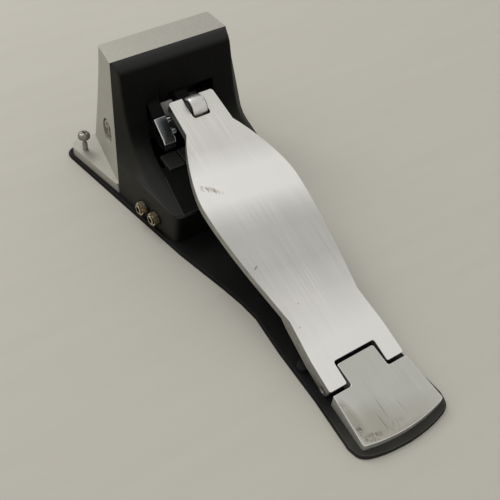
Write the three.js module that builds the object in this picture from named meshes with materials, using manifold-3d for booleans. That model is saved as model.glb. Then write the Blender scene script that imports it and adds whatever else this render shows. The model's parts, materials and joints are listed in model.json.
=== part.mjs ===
// Kick trigger pedal: a hinged footboard whose roller pushes a cam-levered hammer inside a
// two-piece housing; the hammer's weight swings back onto a rubber pad with a piezo sensor.
// Millimetres, +Z up, +X to the player's right, +Y from the heel towards the housing.
// The origin is the middle of the underside of the rubber sole.
import * as THREE from 'three';
import { mergeVertices } from 'three/addons/utils/BufferGeometryUtils.js';
import Module from 'manifold-3d';

const wasm = await Module();
wasm.setup();

// ---------- driving dimensions ----------
const LENGTH = 436;               // base, heel to back
const HALF_LENGTH = LENGTH / 2;
const HEIGHT = 132;               // top of the housing
const SOLE_TOP = 1.6;             // rubber sole thickness
const BASE_TOP = 4;               // top of the steel base plate
const FIT = 0.3;                  // gap between pieces that touch
const ROUND = 28;                 // sides of a round piece

const BOARD_ANGLE = THREE.MathUtils.degToRad(15.9);   // footboard slope, pedal up
const BOARD_TRAVEL = THREE.MathUtils.degToRad(7);     // footboard travel, pedal down
const HINGE = { y: -147.5, z: 10.5 };                 // heel hinge axis
const HEEL_EDGE = { s: -6.1, n: 9.5 };                // board's top heel edge seen from the hinge
const BOARD_LENGTH = 297;
const BOARD_THICK = 5;
const BOARD_HEEL = 37.4;          // half-widths along the board
const BOARD_WAIST = 34.3;
const BOARD_WIDEST = 47.6;
const BOARD_NECK = 24.4;
const WAIST_S = 66;               // how far each stands from the heel edge
const WIDEST_S = 186;
const NECK_S = 260.4;
const NOTCH = { half: 21.1, depth: 20.8 };
const SLOT = { half: 8.9, start: 273.3, corner: 3 };
const RIM = { proud: 1.2, depth: 8, wall: 4 };        // stiffening wall under the board's sides
const EAR = { radius: 5.9, depth: 14, back: 16 };     // the hinge ears
const EAR_END = 33.4;             // inner end of the pivot screw, out from the middle
const FORK_DEPTH = 8.4;           // thickness of the fork at the roller

const ROLLER = { s: 286.3, depth: 4, radius: 11.5, half: 7.3 };
const AXLE_RADIUS = 2.5;

const SHAFT = { y: 176, z: 98 };                      // hammer shaft axis
const ARM_SLOPE = THREE.MathUtils.degToRad(34.4);     // hammer arm below level, pedal up
const HAMMER_RATIO = 5.2;                             // hammer angle over footboard angle
const WEIGHT = { x: -27.6, half: 6.2, from: 42, to: 68.3, top: -5.1, foot: 3.9 };
const ARM_FOOT = 8;               // underside of the arm, off its middle line
const STRIKER_FACE = 12;          // the striker's face, off the same line

const SEAM = { topY: 167.6, topX: 60.7, footY: 135.5, footX: 75 };  // between the two shells
const WALL = 3;
const CHEEK_X = 44;               // inner face of the bracket cheeks
const CHEEK_THICK = 2.2;
const KNOB = { y: 173, z: 51, radius: 10.5, hole: 12.6 };
const JACKS = [{ y: 97, face: 72.6 }, { y: 79.6, face: 69.3 }];
const JACK_Z = 16;
const ANCHOR = { x: 80.1, y: 198.5, shank: 2.6 };
const FLANGE_TOP = 14;
const JACK_SEAT = 4.8;            // the washer's seat behind the jack's outer face
const JACK_INNER = 12.2;          // the jack's body, likewise
const JACK_NUT = 2.6;             // the nut's thickness
const LEVER_REACH = 12;           // spring eye behind the hammer shaft
const LEVER_SPAN = [-54.5, -49.5];
const SPRING_X = -52;
const SPRING_RADIUS = 4.2;
const WINDOW = { top: 95, topHalf: 36, foot: 42, footHalf: 42.5, front: 111 };
const PANEL_SLOPE = THREE.MathUtils.degToRad(4);      // flat between the nose and the window
const PANEL_HEIGHT = 32.8;        // height that its seat has at Y = 0
const PANEL_THICK = 1;
const SIDES = [[-1, 'left'], [1, 'right']];
const SCREWS = [
  [-26, -186], [26, -186], [-50, 66], [50, 66], [-73, 186], [73, 186],
];

// ---------- materials ----------
const paint = (color, roughness, metalness = 0) =>
  new THREE.MeshStandardMaterial({ color, roughness, metalness });
const BRUSHED = paint(0xc9c8c2, 0.35, 1);
const SILVER_PAINT = paint(0xa5a59c, 0.45, 0.3);
const BLACK_PLASTIC = paint(0x1b1b1b, 0.55);
const RUBBER = paint(0x2b2b2a, 0.9);
const BLACK_STEEL = paint(0x131313, 0.6, 0.4);
const STEEL = paint(0xb9bbbd, 0.3, 1);
const CHROME = paint(0xdddfe2, 0.08, 1);
const CAST = paint(0x4b4b48, 0.6, 0.7);
const BRASS = paint(0xc8a45a, 0.3, 1);
const NYLON = paint(0x202020, 0.5);
const BOARD_GREEN = paint(0x1f4a33, 0.5);

// ---------- solid helpers ----------
function solid(geometry) {
  const bare = geometry.clone();
  bare.deleteAttribute('normal');
  bare.deleteAttribute('uv');
  const merged = mergeVertices(bare, 1e-4);
  return new wasm.Manifold(new wasm.Mesh({
    numProp: 3,
    vertProperties: new Float32Array(merged.attributes.position.array),
    triVerts: new Uint32Array(merged.index.array),
  }));
}

function geometryOf(manifold) {
  const mesh = manifold.getMesh();
  const geometry = new THREE.BufferGeometry();
  geometry.setAttribute('position', new THREE.BufferAttribute(mesh.vertProperties, 3));
  geometry.setIndex(new THREE.BufferAttribute(mesh.triVerts, 1));
  return geometry;
}

const join = (first, ...rest) =>
  geometryOf(rest.reduce((body, piece) => body.add(solid(piece)), solid(first)));
const cut = (first, ...rest) =>
  geometryOf(rest.reduce((body, piece) => body.subtract(solid(piece)), solid(first)));
const common = (first, second) => geometryOf(solid(first).intersect(solid(second)));

// A box from its lowest to its highest corner.
function block(low, high) {
  const size = high.map((value, i) => value - low[i]);
  const middle = high.map((value, i) => (value + low[i]) / 2);
  return new THREE.BoxGeometry(...size).translate(...middle);
}

// A round bar along X, Y or Z from one end to the other.
function rod(axis, radius, from, to, [a, b], sides = ROUND) {
  const bar = new THREE.CylinderGeometry(radius, radius, to - from, sides);
  const middle = (from + to) / 2;
  if (axis === 'x') return bar.rotateZ(Math.PI / 2).translate(middle, a, b);
  if (axis === 'y') return bar.translate(a, middle, b);
  return bar.rotateX(Math.PI / 2).translate(a, b, middle);
}

const outline = (points) => new THREE.Shape(points.map(([a, b]) => new THREE.Vector2(a, b)));

// A flat outline in X and Y, raised from one height to another.
function slab(shape, low, high, steps = 8) {
  const raised = new THREE.ExtrudeGeometry(shape, {
    depth: high - low, bevelEnabled: false, curveSegments: steps,
  });
  return raised.translate(0, 0, low);
}

// A side profile in Y and Z, carried along X from one side to the other.
function profile(points, left, right) {
  const shape = Array.isArray(points) ? outline(points) : points;
  const raised = new THREE.ExtrudeGeometry(shape, {
    depth: right - left, bevelEnabled: false, curveSegments: 8,
  });
  const turn = new THREE.Matrix4().makeBasis(
    new THREE.Vector3(0, 1, 0), new THREE.Vector3(0, 0, 1), new THREE.Vector3(1, 0, 0));
  return raised.applyMatrix4(turn).translate(left, 0, 0);
}

// A body through rings of points, one ring above the other, all turning the same way.
function loft(rings) {
  const count = rings[0].length;
  const position = rings.flat(2);
  const index = [];
  for (let level = 0; level + 1 < rings.length; level += 1) {
    for (let i = 0; i < count; i += 1) {
      const a = level * count + i;
      const b = level * count + ((i + 1) % count);
      index.push(a, b, b + count, a, b + count, a + count);
    }
  }
  const flat = rings[0].map(([x, y]) => new THREE.Vector2(x, y));
  const top = (rings.length - 1) * count;
  for (const [a, b, c] of THREE.ShapeUtils.triangulateShape(flat, [])) {
    index.push(c, b, a, top + a, top + b, top + c);
  }
  const geometry = new THREE.BufferGeometry();
  geometry.setAttribute('position', new THREE.Float32BufferAttribute(position, 3));
  geometry.setIndex(index);
  return geometry;
}

// Two distances out from the middle, on one side, as the lower and the higher X.
const ordered = (side, a, b) => [side * a, side * b].sort((low, high) => low - high);
const mirrored = (points) => [...points, ...points.map(([x, y]) => [-x, y]).reverse()];
const spread = (low, high, count) =>
  Array.from({ length: count }, (_, i) => low + ((high - low) * i) / (count - 1));

// ---------- scene graph ----------
const group = new THREE.Group();
const board = new THREE.Group();
board.position.set(0, HINGE.y, HINGE.z);
board.rotation.x = BOARD_ANGLE;
const hammer = new THREE.Group();
hammer.position.set(0, SHAFT.y, SHAFT.z);
group.add(board, hammer);

function add(name, geometry, material, parent = group) {
  const mesh = new THREE.Mesh(geometry, material);
  mesh.name = name;
  parent.add(mesh);
  return mesh;
}

// ---------- base ----------
// Half of the base outline, from the middle of the heel round to the back; inset draws it in.
function baseShape(inset) {
  const side = [
    [47.6, -203], [48.9, -197], [45.7, -148], [44.8, -97], [42, -56], [44.4, -36], [48.6, -16],
    [62.6, 41], [93.4, 207],
  ];
  const shape = new THREE.Shape();
  const back = HALF_LENGTH - inset;
  shape.moveTo(0, -HALF_LENGTH + inset);
  shape.quadraticCurveTo(24, -217.4 + inset, 38 - inset, -212.6 + inset);
  shape.quadraticCurveTo(46.4 - inset, -209.4 + inset, 47.6 - inset, -203);
  side.slice(1).forEach(([x, y]) => shape.lineTo(x - inset, y));
  shape.quadraticCurveTo(94.6 - inset, back, 84 - inset, back);
  const half = shape.getPoints(5);
  const right = half.slice(1).map((p) => [p.x, p.y]);
  return outline([...mirrored(right), [0, -HALF_LENGTH + inset]]);
}

function soleAndPlate() {
  const holes = SCREWS.map(([x, y]) => rod('z', 4.2, -1, SOLE_TOP + 1, [x, y], 16));
  const anchors = [-1, 1].map((side) =>
    rod('z', ANCHOR.shank + 1, -1, BASE_TOP + 1, [side * ANCHOR.x, ANCHOR.y], 16));
  add('rubber_sole', cut(slab(baseShape(0), 0, SOLE_TOP), ...holes, ...anchors), RUBBER);
  const shanks = SCREWS.map(([x, y]) => rod('z', 2.3, 0, BASE_TOP + 1, [x, y], 16));
  add('base_plate', cut(slab(baseShape(1), SOLE_TOP, BASE_TOP), ...shanks, ...anchors), BLACK_STEEL);
}

// Pan-head screws up through the base, into the heel casting and both shells.
function baseScrews() {
  SCREWS.forEach(([x, y], i) => {
    const head = rod('z', 3.6, 0.3, SOLE_TOP - 0.1, [x, y], 16);
    const shank = rod('z', 2, SOLE_TOP - 0.2, 10, [x, y], 12);
    add(`base_screw_${i + 1}`, join(head, shank), STEEL);
  });
}
const screwHole = ([x, y]) => rod('z', 2.3, 0, 10.4, [x, y], 12);

// ---------- heel casting and hinge ----------
const TONGUE = { half: 19, end: -138.5, corner: 2.4 };
const HEEL = { back: -159.7, front: -204.1, slope: 0.139, top: 18.2 };

function heelPlate() {
  const shape = new THREE.Shape();
  shape.moveTo(TONGUE.half, HEEL.back);
  shape.lineTo(TONGUE.half, TONGUE.end - TONGUE.corner);
  shape.quadraticCurveTo(TONGUE.half, TONGUE.end, TONGUE.half - TONGUE.corner, TONGUE.end);
  shape.lineTo(TONGUE.corner - TONGUE.half, TONGUE.end);
  shape.quadraticCurveTo(-TONGUE.half, TONGUE.end, -TONGUE.half, TONGUE.end - TONGUE.corner);
  shape.lineTo(-TONGUE.half, HEEL.back);
  shape.lineTo(-38.2, HEEL.back);
  shape.lineTo(-41.4, HEEL.front + 1);
  shape.quadraticCurveTo(-41.2, HEEL.front - 0.8, -39, HEEL.front - 1.4);
  shape.quadraticCurveTo(0, HEEL.front - 11, 39, HEEL.front - 1.4);
  shape.quadraticCurveTo(41.2, HEEL.front - 0.8, 41.4, HEEL.front + 1);
  shape.lineTo(38.2, HEEL.back);
  const topAt = (y) => HEEL.top + HEEL.slope * (y - HEEL.back);
  const wedge = profile([
    [-230, BASE_TOP], [-120, BASE_TOP], [-120, topAt(-120)], [-230, topAt(-230)],
  ], -60, 60);
  const raised = common(slab(shape, BASE_TOP, 40), wedge);
  const bore = rod('x', 3.3, -60, 60, [HINGE.y, HINGE.z]);
  return cut(raised, bore, ...SCREWS.slice(0, 2).map(screwHole));
}

function hinge() {
  add('hinge_pin', rod('x', 3, -33, 33, [HINGE.y, HINGE.z]), STEEL);
  for (const [side, name] of SIDES) {
    const span = ordered(side, TONGUE.half + FIT, NOTCH.half - FIT);
    const washer = rod('x', 5, ...span, [HINGE.y, HINGE.z]);
    const hole = rod('x', 3.3, -60, 60, [HINGE.y, HINGE.z]);
    add(`hinge_washer_${name}`, cut(washer, hole), NYLON);
  }
}

// ---------- footboard, in the board's own frame: Y along it, Z off it, hinge at 0 ----------
const along = (s) => s + HEEL_EDGE.s;
const below = (depth) => HEEL_EDGE.n - depth;

// The right side from the heel to the tip; grow moves it out, except beside the hammer.
function boardSide(grow) {
  const widest = BOARD_WIDEST + grow;
  const neck = BOARD_NECK + Math.min(grow, 0.3);
  const side = new THREE.Path();
  side.moveTo(BOARD_HEEL + grow, along(0));
  side.lineTo(BOARD_HEEL - 0.2 + grow, along(29));
  side.lineTo(BOARD_WAIST + grow, along(WAIST_S));
  side.bezierCurveTo(40.5 + grow, along(104), widest, along(150), widest, along(WIDEST_S));
  side.bezierCurveTo(widest, along(205), 36.5 + grow, along(238), neck, along(NECK_S));
  side.lineTo(neck - 1.3, along(BOARD_LENGTH - 2));
  side.lineTo(neck - 3, along(BOARD_LENGTH));
  return side.getPoints(10).map((p) => [p.x, p.y]);
}

function boardShape() {
  const fork = new THREE.Path();
  fork.moveTo(SLOT.half, along(BOARD_LENGTH));
  fork.lineTo(SLOT.half, along(SLOT.start + SLOT.corner));
  fork.quadraticCurveTo(SLOT.half, along(SLOT.start), SLOT.half - SLOT.corner, along(SLOT.start));
  const slot = fork.getPoints(10).map((p) => [p.x, p.y]);
  const notch = [
    [NOTCH.half - 2.2, along(NOTCH.depth)], [NOTCH.half - 0.6, along(NOTCH.depth - 0.6)],
    [NOTCH.half, along(NOTCH.depth - 2.2)], [NOTCH.half, along(0)],
  ];
  return outline(mirrored([...notch, ...boardSide(RIM.proud), ...slot]));
}

// The side profile of the board: ears at the heel, plate, thicker fork at the roller.
function boardSides() {
  const ear = [
    [along(0), below(0)], [EAR.back, below(0)], [EAR.back, below(EAR.depth)], [8, below(EAR.depth)],
  ];
  for (const turn of spread(-80, -180, 9)) {
    const angle = THREE.MathUtils.degToRad(turn);
    ear.push([EAR.radius * Math.cos(angle), EAR.radius * Math.sin(angle)]);
  }
  const earSide = [...ear].reverse();
  const fork = [
    [along(BOARD_LENGTH), below(0)], [along(BOARD_LENGTH), below(FORK_DEPTH)],
    [along(268), below(FORK_DEPTH)], [along(250), below(BOARD_THICK)], [along(250), below(0)],
  ];
  const plate = [
    [along(NOTCH.depth), below(BOARD_THICK)], [along(BOARD_LENGTH), below(BOARD_THICK)],
    [along(BOARD_LENGTH), below(0)], [along(NOTCH.depth), below(0)],
  ];
  const rib = [
    [along(192), below(4.6)], [along(180), below(10)], [along(52), below(10)], [along(40), below(4.6)],
  ];
  return join(
    profile(plate, -60, 60),
    profile(earSide, -60, -NOTCH.half),
    profile(earSide, NOTCH.half, 60),
    profile(fork, -60, 60),
    ...[-15, 15].map((x) => profile(rib, x - 2, x + 2)),
  );
}

// The wall under both sides, deeper from the ears to the waist.
function boardRims() {
  const rim = [
    [EAR.back - 2, below(EAR.depth)], [along(WAIST_S), below(EAR.depth)],
    [along(WAIST_S + 8), below(RIM.depth)], [along(236), below(RIM.depth)],
    [along(262), below(FORK_DEPTH)], [along(270), below(FORK_DEPTH)],
    [along(270), below(1)], [EAR.back - 2, below(1)],
  ];
  const middle = slab(outline(mirrored(boardSide(-RIM.wall))), -40, 40);
  return common(cut(slab(boardShape(), -30, 30), middle), profile(rim, -60, 60));
}

function footboard() {
  const body = join(common(slab(boardShape(), -30, 30), boardSides()), boardRims());
  const pocket = SIDES.map(([side]) => rod('x', 4.3, ...ordered(side, 18, EAR_END + 0.2), [0, 0]));
  const recess = SIDES.map(([side]) => rod('x', 3.4, ...ordered(side, 33, 60), [0, 0]));
  const axle = rod('x', AXLE_RADIUS + 0.2, -20, 20, [along(ROLLER.s), below(ROLLER.depth)]);
  add('footboard', cut(body, ...pocket, ...recess, axle), BRUSHED, board);
  for (const [side, name] of SIDES) {
    const sleeve = rod('x', 4.1, ...ordered(side, NOTCH.half, EAR_END - 0.1), [0, 0]);
    add(`ear_bushing_${name}`, cut(sleeve, rod('x', 3.25, -60, 60, [0, 0])), BRASS, board);
    const plug = rod('x', 3.2, ...ordered(side, EAR_END + 0.5, 37), [0, 0]);
    const socket = rod('x', 1.7, ...ordered(side, 35, 40), [0, 0], 6);
    add(`pivot_screw_${name}`, cut(plug, socket), STEEL, board);
  }
}

// ---------- roller ----------
function roller() {
  const at = [along(ROLLER.s), below(ROLLER.depth)];
  add('roller_axle', rod('x', AXLE_RADIUS, -19.6, 19.6, at, 20), STEEL, board);
  for (const [side, name] of SIDES) {
    const disc = rod('x', 8.5, ...ordered(side, ROLLER.half + FIT, SLOT.half - FIT), at, 24);
    add(`roller_washer_${name}`, cut(disc, rod('x', AXLE_RADIUS + 0.2, -20, 20, at, 20)), NYLON, board);
  }
  // The tread is slightly barrel-shaped; its bore clears the axle.
  const bore = AXLE_RADIUS + 0.25;
  const tread = spread(-ROLLER.half + 0.5, ROLLER.half - 0.5, 7)
    .map((x) => new THREE.Vector2(ROLLER.radius - 0.5 * (x / ROLLER.half) ** 2, x));
  const section = [
    new THREE.Vector2(bore, -ROLLER.half), new THREE.Vector2(ROLLER.radius - 1.2, -ROLLER.half),
    ...tread,
    new THREE.Vector2(ROLLER.radius - 1.2, ROLLER.half), new THREE.Vector2(bore, ROLLER.half),
    new THREE.Vector2(bore, -ROLLER.half),
  ];
  const body = new THREE.LatheGeometry(section, 36).rotateZ(-Math.PI / 2);
  add('roller', body.translate(0, ...at), STEEL, board);
}

// ---------- hammer, in its own frame: shaft axis at 0, arm pointing to the heel ----------
// Where the roller's centre stands beside the shaft once the board is down by an angle,
// turned back into the hammer's resting frame.
function rollerSeen(down) {
  const s = along(ROLLER.s);
  const n = below(ROLLER.depth);
  const angle = BOARD_ANGLE - down;
  const y = HINGE.y + s * Math.cos(angle) - n * Math.sin(angle) - SHAFT.y;
  const z = HINGE.z + s * Math.sin(angle) + n * Math.cos(angle) - SHAFT.z;
  const back = -HAMMER_RATIO * down;
  return new THREE.Vector2(y, z).rotateAround(new THREE.Vector2(), back);
}

// The cam track: under each place along the arm, the lowest that the roller's rim comes.
function camTrack() {
  const centres = spread(0, BOARD_TRAVEL, 24).map(rollerSeen);
  const reach = ROLLER.radius + FIT;
  const drop = (y) => Math.sqrt(Math.max(0, reach ** 2 - y ** 2));
  const rim = (y) => Math.min(...centres.map((centre) => centre.y - drop(y - centre.x)));
  return spread(-44, -65, 12).map((y) => [y, rim(y)]);
}

const armPoint = (reach, drop) => [
  -reach * Math.cos(ARM_SLOPE) + drop * Math.sin(ARM_SLOPE),
  -reach * Math.sin(ARM_SLOPE) - drop * Math.cos(ARM_SLOPE),
];

function hammerParts() {
  const camSide = [[0, 3], [-38, -9], ...camTrack(), [-65.5, -18], [-56, -26], [-8, -13], [4, -6.5]];
  const cam = profile(camSide, -6.5, 6.5);
  const { x, half, from, to, top, foot } = WEIGHT;
  const carrier = profile([
    [0, 6], armPoint(14, -6), armPoint(from - FIT, top), armPoint(from - FIT, foot + FIT),
    armPoint(to + 1, foot + FIT), armPoint(to + 1, ARM_FOOT), armPoint(14, ARM_FOOT), [4, -6],
  ], x - half - 0.2, x + half + 0.2);
  const tail = profile([[0, -6], [16, -3.3], [16, 3], [0, 6]], 0, 12);
  const hub = rod('x', 7, x - half - 0.2, 12, [0, 0]);
  const bore = rod('x', 4.3, -60, 60, [0, 0]);
  add('hammer_arm', cut(join(hub, cam, carrier, tail), bore), CAST, hammer);

  const bar = [
    armPoint(from, top), armPoint(to - 5, top), armPoint(to, top + 1.3), armPoint(to + 4, foot),
    armPoint(from, foot),
  ];
  add('hammer_weight', profile(bar, x - half, x + half), CHROME, hammer);
  const tip = [
    armPoint(from + 2, ARM_FOOT + FIT), armPoint(to - 2, ARM_FOOT + FIT),
    armPoint(to - 4, STRIKER_FACE), armPoint(from + 4, STRIKER_FACE),
  ];
  add('hammer_striker', profile(tip, x - half + 0.4, x + half - 0.4), RUBBER, hammer);
  add('hammer_shaft', rod('x', 4, -55.2, 48.5, [0, 0]), STEEL, hammer);
  add('shaft_spacer', cut(rod('x', 6, 12.4, 40.9, [0, 0]), bore), NYLON, hammer);

  const [left, right] = LEVER_SPAN;
  const eye = rod('x', 1.6, -60, -40, [LEVER_REACH, 0], 12);
  const lever = join(
    rod('x', 6.5, left, right, [0, 0]),
    rod('x', 4.5, left, right, [LEVER_REACH, 0]),
    profile([[0, -6.4], [LEVER_REACH, -4.4], [LEVER_REACH, 4.4], [0, 6.4]], left, right),
  );
  add('spring_lever', cut(lever, bore, eye), STEEL, hammer);
}

// ---------- bracket, bearings and lever stop ----------
function bracket() {
  const cheek = [[146, BASE_TOP], [192, BASE_TOP], [192, 60], [186, 110], [166, 110], [150, 60]];
  const bearingHole = rod('x', 6.3, -60, 60, [SHAFT.y, SHAFT.z]);
  const shaftHole = rod('x', 4.3, -60, 60, [SHAFT.y, SHAFT.z]);
  const knobHole = rod('x', 3.3, -60, 0, [KNOB.y, KNOB.z], 20);
  for (const [side, name] of SIDES) {
    const plate = profile(cheek, ...ordered(side, CHEEK_X, CHEEK_X + CHEEK_THICK));
    const [low, high] = ordered(side, CHEEK_X - 12, CHEEK_X + 0.5);
    const foot = block([low, 146, BASE_TOP], [high, 192, BASE_TOP + CHEEK_THICK]);
    add(`bracket_cheek_${name}`, cut(join(plate, foot), bearingHole, knobHole), BLACK_STEEL);
    const reach = ordered(side, CHEEK_X - 2.6, CHEEK_X + CHEEK_THICK + 0.4);
    const ring = rod('x', 6, ...reach, [SHAFT.y, SHAFT.z]);
    add(`shaft_bearing_${name}`, cut(ring, shaftHole), BRASS);
  }
  const barAt = [SHAFT.y + 11.5, SHAFT.z - 7.6];
  add('stop_bar', rod('x', 3, FIT - CHEEK_X, CHEEK_X - FIT, barAt, 16), RUBBER);
}

// ---------- strike pad, where the striker's face arrives with the board down ----------
function padAssembly() {
  const pad = new THREE.Group();
  pad.position.copy(hammer.position);
  pad.rotation.x = HAMMER_RATIO * BOARD_TRAVEL;
  group.add(pad);
  const face = STRIKER_FACE + FIT;
  const back = face + 4 + FIT;
  const slice = (from, to, near, far, left, right) => profile([
    armPoint(from, near), armPoint(to, near), armPoint(to, far), armPoint(from, far),
  ], left, right);
  add('strike_pad', slice(41, 69, face, face + 4, WEIGHT.x - 9, WEIGHT.x + 9), RUBBER, pad);
  add('pad_plate', slice(38, 71, back, back + 2, FIT - CHEEK_X, CHEEK_X - FIT), STEEL, pad);
  const [y, z] = armPoint(55, back + 2 + FIT + 0.5);
  const disc = new THREE.CylinderGeometry(9, 9, 1, 24).rotateX(ARM_SLOPE - Math.PI / 2);
  add('piezo_sensor', disc.translate(WEIGHT.x, y, z), BRASS, pad);
}

// ---------- return spring and its tension knob ----------
function springSet() {
  const low = [KNOB.y + 1, KNOB.z + 12];
  const high = [SHAFT.y + LEVER_REACH - 1.4, SHAFT.z - 8];
  const length = Math.hypot(high[0] - low[0], high[1] - low[1]);
  const coil = new THREE.CylinderGeometry(SPRING_RADIUS, SPRING_RADIUS, length, 20);
  coil.rotateX(Math.atan2(high[1] - low[1], high[0] - low[0]));
  coil.translate(SPRING_X, (low[0] + high[0]) / 2, (low[1] + high[1]) / 2);
  add('return_spring', coil, STEEL);

  const knob = new THREE.Group();
  knob.position.set(0, KNOB.y, KNOB.z);
  group.add(knob);
  const slot = block([-70, -1.3, -4.2], [-61.6, 1.3, 4.2]);
  const eyes = spread(30, 330, 6).map((turn) => {
    const angle = THREE.MathUtils.degToRad(turn);
    return rod('x', 1.7, -70, -61.6, [7.3 * Math.cos(angle), 7.3 * Math.sin(angle)], 14);
  });
  const disc = cut(rod('x', KNOB.radius, -63.4, -58, [0, 0], 36), slot, ...eyes);
  const crank = rod('x', 4, -58.5, -49, [0, 4], 20);
  const stem = rod('x', 3, -49.5, -CHEEK_X + 3, [0, 0], 20);
  add('tension_knob', join(disc, crank, stem), STEEL, knob);
}

// ---------- housing ----------
// Crest of the front shell, from the foot to the top: height, how far forward, half-width, corner.
const CREST = [
  [4, 51, 60, 8], [36, 51, 60.5, 8], [38, 54, 60.9, 7], [39, 71, 61.9, 5], [41, 98.6, 62, 4],
  [44, 112, 60.6, 3], [48, 122, 59, 3], [52, 128.5, 58, 3], [57, 132.8, 57.6, 3],
  [65, 137.9, 57.8, 3], [75, 142, 58, 3], [85, 145.5, 58.2, 3], [95, 148.2, 58.4, 3],
  [105, 150.5, 58.5, 3], [115, 152.7, 58.4, 3], [123, 154.4, 58.2, 3], [127.5, 156.6, 57.9, 3],
  [130.6, 160, 57.4, 3], [HEIGHT, 164, 56.8, 2.5],
];
const seamAt = (z) => {
  const down = (HEIGHT - z) / (HEIGHT - BASE_TOP);
  const across = THREE.MathUtils.lerp(SEAM.topX, SEAM.footX, down);
  return [across, THREE.MathUtils.lerp(SEAM.topY, SEAM.footY, down)];
};

// One level of the front shell; inset draws the walls in, and back carries it past the seam.
function frontRing([z, y, half, corner], inset = 0, back = 0) {
  const [seamX, seamY] = seamAt(z);
  const edge = new THREE.Vector2(half - inset, y + inset);
  const foot = new THREE.Vector2(seamX - inset, seamY);
  const start = edge.clone().lerp(foot, corner / foot.distanceTo(edge));
  const end = new THREE.Vector2(edge.x - corner, edge.y);
  const bend = new THREE.QuadraticBezierCurve(start, edge, end);
  const side = [foot, foot.clone().lerp(edge, 0.5), ...bend.getPoints(4)].map((p) => [p.x, p.y]);
  const level = mirrored([[foot.x, foot.y + back], ...side]);
  return level.reverse().map(([across, ahead]) => [across, ahead, z]);
}

function frontShell() {
  const outer = loft(CREST.map((level) => frontRing(level)));
  const inner = loft(CREST.map((level) => frontRing(level, WALL, 14))).translate(0, 0, -WALL);
  const opening = outline([
    [-44.5, 20], [44.5, 20], [WINDOW.footHalf, WINDOW.foot], [WINDOW.topHalf, WINDOW.top],
    [-WINDOW.topHalf, WINDOW.top], [-WINDOW.footHalf, WINDOW.foot],
  ]);
  const window = slab(opening, 0, 60).rotateX(Math.PI / 2).translate(0, WINDOW.front + 60, 0);
  const panel = outline([[-54, 40], [54, 40], [42, 114], [-42, 114]]);
  const pocket = slab(panel, 0, 20).rotateX(PANEL_SLOPE).translate(0, 0, PANEL_HEIGHT);
  const posts = [-50, 50].map((x) => rod('z', 5, BASE_TOP, 36, [x, 66], 20));
  const bosses = JACKS.map(({ y, face }) =>
    rod('x', 7.6, JACK_SEAT - face, JACK_INNER - face, [y, JACK_Z]));
  const bores = JACKS.flatMap(({ y, face }) => [
    rod('x', 4.8, -80, -45, [y, JACK_Z], 20),
    rod('x', 8.3, -80, JACK_SEAT - face, [y, JACK_Z]),
  ]);
  const hollow = cut(outer, inner, window, pocket);
  const fitted = join(hollow, ...posts, ...bosses);
  add('front_shell', cut(fitted, ...bores, ...SCREWS.slice(2, 4).map(screwHole)), BLACK_PLASTIC);
}

// The dark inlay on the nose, which runs on through the window, and the rubber pads at its end.
function frontPanel() {
  const right = [[51.6, 52.6], [42.1, 111], [36, 111], [36, 124.5]];
  const sheet = slab(outline(mirrored(right)), 0.1, PANEL_THICK);
  add('front_panel', sheet.rotateX(PANEL_SLOPE).translate(0, 0, PANEL_HEIGHT), BLACK_STEEL);
  for (const [name, left, side] of [['left', -36, -19.6], ['right', -18, 36]]) {
    const pad = block([left, 105, PANEL_THICK + FIT], [side, 124.2, PANEL_THICK + 2.6]);
    add(`sill_pad_${name}`, pad.rotateX(PANEL_SLOPE).translate(0, 0, PANEL_HEIGHT), RUBBER);
  }
}

// One level of the rear shell; inset draws the walls in, and ahead carries it past the seam.
function rearRing(z, inset, ahead) {
  const [seamX, seamY] = seamAt(z);
  const down = (HEIGHT - z) / (HEIGHT - BASE_TOP);
  const backX = THREE.MathUtils.lerp(58.3, 63, down) - inset;
  const backY = 196.4 + 18.6 * down ** 1.35 - inset;
  const radius = 3;
  const bend = new THREE.QuadraticBezierCurve(
    new THREE.Vector2(backX + 0.1, backY - radius), new THREE.Vector2(backX, backY),
    new THREE.Vector2(backX - radius, backY));
  const right = [[seamX - inset, seamY + FIT - ahead], ...bend.getPoints(4).map((p) => [p.x, p.y])];
  return mirrored(right).map(([x, y]) => [x, y, z]);
}

function rearShell() {
  const levels = spread(BASE_TOP, HEIGHT, 9);
  const outer = loft(levels.map((z) => rearRing(z, 0, 0)));
  const inner = loft(levels.map((z) => rearRing(z, WALL, 16))).translate(0, 0, -WALL);
  const flange = new THREE.Shape();
  flange.moveTo(68, SEAM.footY);
  flange.lineTo(SEAM.footX + 0.3, SEAM.footY);
  flange.lineTo(89.3, 203);
  flange.bezierCurveTo(90.4, 208.5, 87.5, 214.9, 80, 214.9);
  flange.lineTo(-80, 214.9);
  flange.bezierCurveTo(-87.5, 214.9, -90.4, 208.5, -89.3, 203);
  flange.lineTo(-SEAM.footX - 0.3, SEAM.footY);
  flange.lineTo(-68, SEAM.footY);
  const skirt = slab(flange, BASE_TOP, FLANGE_TOP);
  const anchorHoles = [-1, 1].map((side) =>
    rod('z', ANCHOR.shank + FIT, -1, 20, [side * ANCHOR.x, ANCHOR.y], 20));
  const knobHole = rod('x', KNOB.hole, -80, -50, [KNOB.y, KNOB.z], 36);
  const seamCut = profile([[120, 2], [SEAM.footY + FIT, 2], [SEAM.footY + FIT + 0.5, BASE_TOP],
    [SEAM.topY + FIT, HEIGHT], [120, HEIGHT]], -99, 99);
  const body = cut(join(outer, skirt), inner, seamCut, knobHole, ...anchorHoles,
    ...SCREWS.slice(4).map(screwHole));
  add('rear_shell', body, SILVER_PAINT);
}

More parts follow.
